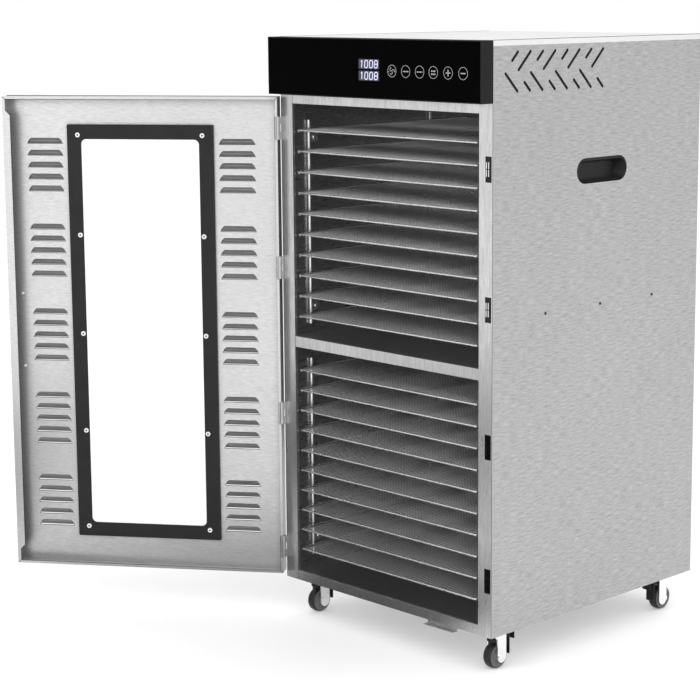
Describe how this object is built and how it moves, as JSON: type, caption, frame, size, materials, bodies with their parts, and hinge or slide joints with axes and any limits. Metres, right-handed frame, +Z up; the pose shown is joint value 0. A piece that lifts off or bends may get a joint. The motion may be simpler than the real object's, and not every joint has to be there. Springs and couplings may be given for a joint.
{
  "type": "food dehydrator",
  "caption": "Two-zone cabinet food dehydrator on swivel casters, with sliding mesh trays, a louvred door with a window, and a touch control panel.",
  "frame": {"origin": "on the floor under the centre of the cabinet", "axes": "+Z up, the door's side of the cabinet faces -Y, the door's hinges are on the -X side"},
  "size_m": [0.8168, 0.7493, 0.914],
  "materials": {
    "brushed_shell": "fine horizontal and vertical brushing, satin",
    "top_sheet": "satin, nearly white rim",
    "base_sheet": "dark zinc grey",
    "frame_steel": "vertical brushing, bright folded edges",
    "liner_steel": "glossy dark stainless",
    "rack_wire": "bright drawn wire",
    "panel_plastic": "fine texture, dark grey",
    "panel_glass": "polished black",
    "circuit_board": "solder-mask green",
    "catch_metal": "plain",
    "handle_plastic": "moulded black",
    "zinc_steel": "bright zinc plate",
    "motor_can": "plain die casting",
    "heater_sheath": "heat-darkened",
    "black_screws": "blackened",
    "window_glass": "clear toughened",
    "window_frame_steel": "dark grey, satin",
    "white_screws": "white",
    "handle_bar": "satin",
    "fan_blades": "plain",
    "wheel_rubber": "dark grey tread and hub",
    "pedal_plastic": "moulded black",
    "tray_wire": "bright wire mesh"
  },
  "bodies": {
    "cabinet": {"side_panel_left": "brushed_shell", "side_panel_right": "brushed_shell", "top_cover": "top_sheet", "back_cover": "brushed_shell", "base_plate": "base_sheet", "front_frame": "frame_steel", "chamber_liners": "liner_steel", "zone_shelves": "liner_steel", "tray_racks": "rack_wire", "control_housing": "panel_plastic", "control_glass": "panel_glass", "control_boards": "circuit_board", "magnet_catches": "catch_metal", "pocket_handles": "handle_plastic", "hinge_brackets": "zinc_steel", "power_inlet": "handle_plastic", "fan_motors": "motor_can", "heaters": "heater_sheath", "caster_plates": "zinc_steel", "cabinet_screws": "black_screws"},
    "door": {"door_panel": "brushed_shell", "door_glass": "window_glass", "window_frame": "window_frame_steel", "door_screws": "white_screws", "door_handle": "handle_bar", "hinge_leaves": "zinc_steel"},
    "fan_wheel_upper": {"fan_upper": "fan_blades"},
    "fan_wheel_lower": {"fan_lower": "fan_blades"},
    "tray_upper_1_body": {"tray_upper_1": "tray_wire"},
    "tray_upper_2_body": {"tray_upper_2": "tray_wire"},
    "tray_upper_3_body": {"tray_upper_3": "tray_wire"},
    "tray_upper_4_body": {"tray_upper_4": "tray_wire"},
    "tray_upper_5_body": {"tray_upper_5": "tray_wire"},
    "tray_upper_6_body": {"tray_upper_6": "tray_wire"},
    "tray_upper_7_body": {"tray_upper_7": "tray_wire"},
    "tray_upper_8_body": {"tray_upper_8": "tray_wire"},
    "tray_upper_9_body": {"tray_upper_9": "tray_wire"},
    "tray_upper_10_body": {"tray_upper_10": "tray_wire"},
    "tray_lower_1_body": {"tray_lower_1": "tray_wire"},
    "tray_lower_2_body": {"tray_lower_2": "tray_wire"},
    "tray_lower_3_body": {"tray_lower_3": "tray_wire"},
    "tray_lower_4_body": {"tray_lower_4": "tray_wire"},
    "tray_lower_5_body": {"tray_lower_5": "tray_wire"},
    "tray_lower_6_body": {"tray_lower_6": "tray_wire"},
    "tray_lower_7_body": {"tray_lower_7": "tray_wire"},
    "tray_lower_8_body": {"tray_lower_8": "tray_wire"},
    "tray_lower_9_body": {"tray_lower_9": "tray_wire"},
    "tray_lower_10_body": {"tray_lower_10": "tray_wire"},
    "caster_fl": {"caster_fork_fl": "zinc_steel"},
    "wheel_fl": {"caster_wheel_fl": "wheel_rubber"},
    "pedal_fl": {"brake_pedal_fl": "pedal_plastic"},
    "caster_fr": {"caster_fork_fr": "zinc_steel"},
    "wheel_fr": {"caster_wheel_fr": "wheel_rubber"},
    "pedal_fr": {"brake_pedal_fr": "pedal_plastic"},
    "caster_rl": {"caster_fork_rl": "zinc_steel"},
    "wheel_rl": {"caster_wheel_rl": "wheel_rubber"},
    "pedal_rl": {"brake_pedal_rl": "pedal_plastic"},
    "caster_rr": {"caster_fork_rr": "zinc_steel"},
    "wheel_rr": {"caster_wheel_rr": "wheel_rubber"},
    "pedal_rr": {"brake_pedal_rr": "pedal_plastic"}
  },
  "joints": [
    {"name": "door_hinge", "type": "hinge", "parent": "cabinet", "child": "door", "pos_m": [-0.22, -0.2434, 0.4425], "axis": [0, 0, -1], "range_deg": [-143.4, 20]},
    {"name": "tray_upper_1_slide", "type": "slide", "parent": "cabinet", "child": "tray_upper_1_body", "axis": [0, -1, 0], "range_m": [0, 0.3]},
    {"name": "tray_upper_2_slide", "type": "slide", "parent": "cabinet", "child": "tray_upper_2_body", "axis": [0, -1, 0], "range_m": [0, 0.3]},
    {"name": "tray_upper_3_slide", "type": "slide", "parent": "cabinet", "child": "tray_upper_3_body", "axis": [0, -1, 0], "range_m": [0, 0.3]},
    {"name": "tray_upper_4_slide", "type": "slide", "parent": "cabinet", "child": "tray_upper_4_body", "axis": [0, -1, 0], "range_m": [0, 0.3]},
    {"name": "tray_upper_5_slide", "type": "slide", "parent": "cabinet", "child": "tray_upper_5_body", "axis": [0, -1, 0], "range_m": [0, 0.3]},
    {"name": "tray_upper_6_slide", "type": "slide", "parent": "cabinet", "child": "tray_upper_6_body", "axis": [0, -1, 0], "range_m": [0, 0.3]},
    {"name": "tray_upper_7_slide", "type": "slide", "parent": "cabinet", "child": "tray_upper_7_body", "axis": [0, -1, 0], "range_m": [0, 0.3]},
    {"name": "tray_upper_8_slide", "type": "slide", "parent": "cabinet", "child": "tray_upper_8_body", "axis": [0, -1, 0], "range_m": [0, 0.3]},
    {"name": "tray_upper_9_slide", "type": "slide", "parent": "cabinet", "child": "tray_upper_9_body", "axis": [0, -1, 0], "range_m": [0, 0.3]},
    {"name": "tray_upper_10_slide", "type": "slide", "parent": "cabinet", "child": "tray_upper_10_body", "axis": [0, -1, 0], "range_m": [0, 0.3]},
    {"name": "tray_lower_1_slide", "type": "slide", "parent": "cabinet", "child": "tray_lower_1_body", "axis": [0, -1, 0], "range_m": [0, 0.3]},
    {"name": "tray_lower_2_slide", "type": "slide", "parent": "cabinet", "child": "tray_lower_2_body", "axis": [0, -1, 0], "range_m": [0, 0.3]},
    {"name": "tray_lower_3_slide", "type": "slide", "parent": "cabinet", "child": "tray_lower_3_body", "axis": [0, -1, 0], "range_m": [0, 0.3]},
    {"name": "tray_lower_4_slide", "type": "slide", "parent": "cabinet", "child": "tray_lower_4_body", "axis": [0, -1, 0], "range_m": [0, 0.3]},
    {"name": "tray_lower_5_slide", "type": "slide", "parent": "cabinet", "child": "tray_lower_5_body", "axis": [0, -1, 0], "range_m": [0, 0.3]},
    {"name": "tray_lower_6_slide", "type": "slide", "parent": "cabinet", "child": "tray_lower_6_body", "axis": [0, -1, 0], "range_m": [0, 0.3]},
    {"name": "tray_lower_7_slide", "type": "slide", "parent": "cabinet", "child": "tray_lower_7_body", "axis": [0, -1, 0], "range_m": [0, 0.3]},
    {"name": "tray_lower_8_slide", "type": "slide", "parent": "cabinet", "child": "tray_lower_8_body", "axis": [0, -1, 0], "range_m": [0, 0.3]},
    {"name": "tray_lower_9_slide", "type": "slide", "parent": "cabinet", "child": "tray_lower_9_body", "axis": [0, -1, 0], "range_m": [0, 0.3]},
    {"name": "tray_lower_10_slide", "type": "slide", "parent": "cabinet", "child": "tray_lower_10_body", "axis": [0, -1, 0], "range_m": [0, 0.3]},
    {"name": "fan_upper_spin", "type": "hinge", "parent": "cabinet", "child": "fan_wheel_upper", "pos_m": [0, 0.183, 0.6326], "axis": [0, 1, 0], "continuous": true},
    {"name": "fan_lower_spin", "type": "hinge", "parent": "cabinet", "child": "fan_wheel_lower", "pos_m": [0, 0.183, 0.25535], "axis": [0, 1, 0], "continuous": true},
    {"name": "caster_swivel_fl", "type": "hinge", "parent": "cabinet", "child": "caster_fl", "pos_m": [-0.19, -0.185, 0.0532], "axis": [0, 0, 1], "continuous": true},
    {"name": "wheel_roll_fl", "type": "hinge", "parent": "caster_fl", "child": "wheel_fl", "pos_m": [-0.19, -0.196, 0.019], "axis": [1, 0, 0], "continuous": true},
    {"name": "brake_press_fl", "type": "hinge", "parent": "caster_fl", "child": "pedal_fl", "pos_m": [-0.19, -0.1865, 0.0455], "axis": [-1, 0, 0], "range_deg": [0, 5]},
    {"name": "caster_swivel_fr", "type": "hinge", "parent": "cabinet", "child": "caster_fr", "pos_m": [0.19, -0.185, 0.0532], "axis": [0, 0, 1], "continuous": true},
    {"name": "wheel_roll_fr", "type": "hinge", "parent": "caster_fr", "child": "wheel_fr", "pos_m": [0.19, -0.196, 0.019], "axis": [1, 0, 0], "continuous": true},
    {"name": "brake_press_fr", "type": "hinge", "parent": "caster_fr", "child": "pedal_fr", "pos_m": [0.19, -0.1865, 0.0455], "axis": [-1, 0, 0], "range_deg": [0, 5]},
    {"name": "caster_swivel_rl", "type": "hinge", "parent": "cabinet", "child": "caster_rl", "pos_m": [-0.19, 0.185, 0.0532], "axis": [0, 0, 1], "continuous": true},
    {"name": "wheel_roll_rl", "type": "hinge", "parent": "caster_rl", "child": "wheel_rl", "pos_m": [-0.19, 0.196, 0.019], "axis": [1, 0, 0], "continuous": true},
    {"name": "brake_press_rl", "type": "hinge", "parent": "caster_rl", "child": "pedal_rl", "pos_m": [-0.19, 0.1865, 0.0455], "axis": [1, 0, 0], "range_deg": [0, 5]},
    {"name": "caster_swivel_rr", "type": "hinge", "parent": "cabinet", "child": "caster_rr", "pos_m": [0.19, 0.185, 0.0532], "axis": [0, 0, 1], "continuous": true},
    {"name": "wheel_roll_rr", "type": "hinge", "parent": "caster_rr", "child": "wheel_rr", "pos_m": [0.19, 0.196, 0.019], "axis": [1, 0, 0], "continuous": true},
    {"name": "brake_press_rr", "type": "hinge", "parent": "caster_rr", "child": "pedal_rr", "pos_m": [0.19, 0.1865, 0.0455], "axis": [1, 0, 0], "range_deg": [0, 5]}
  ]
}
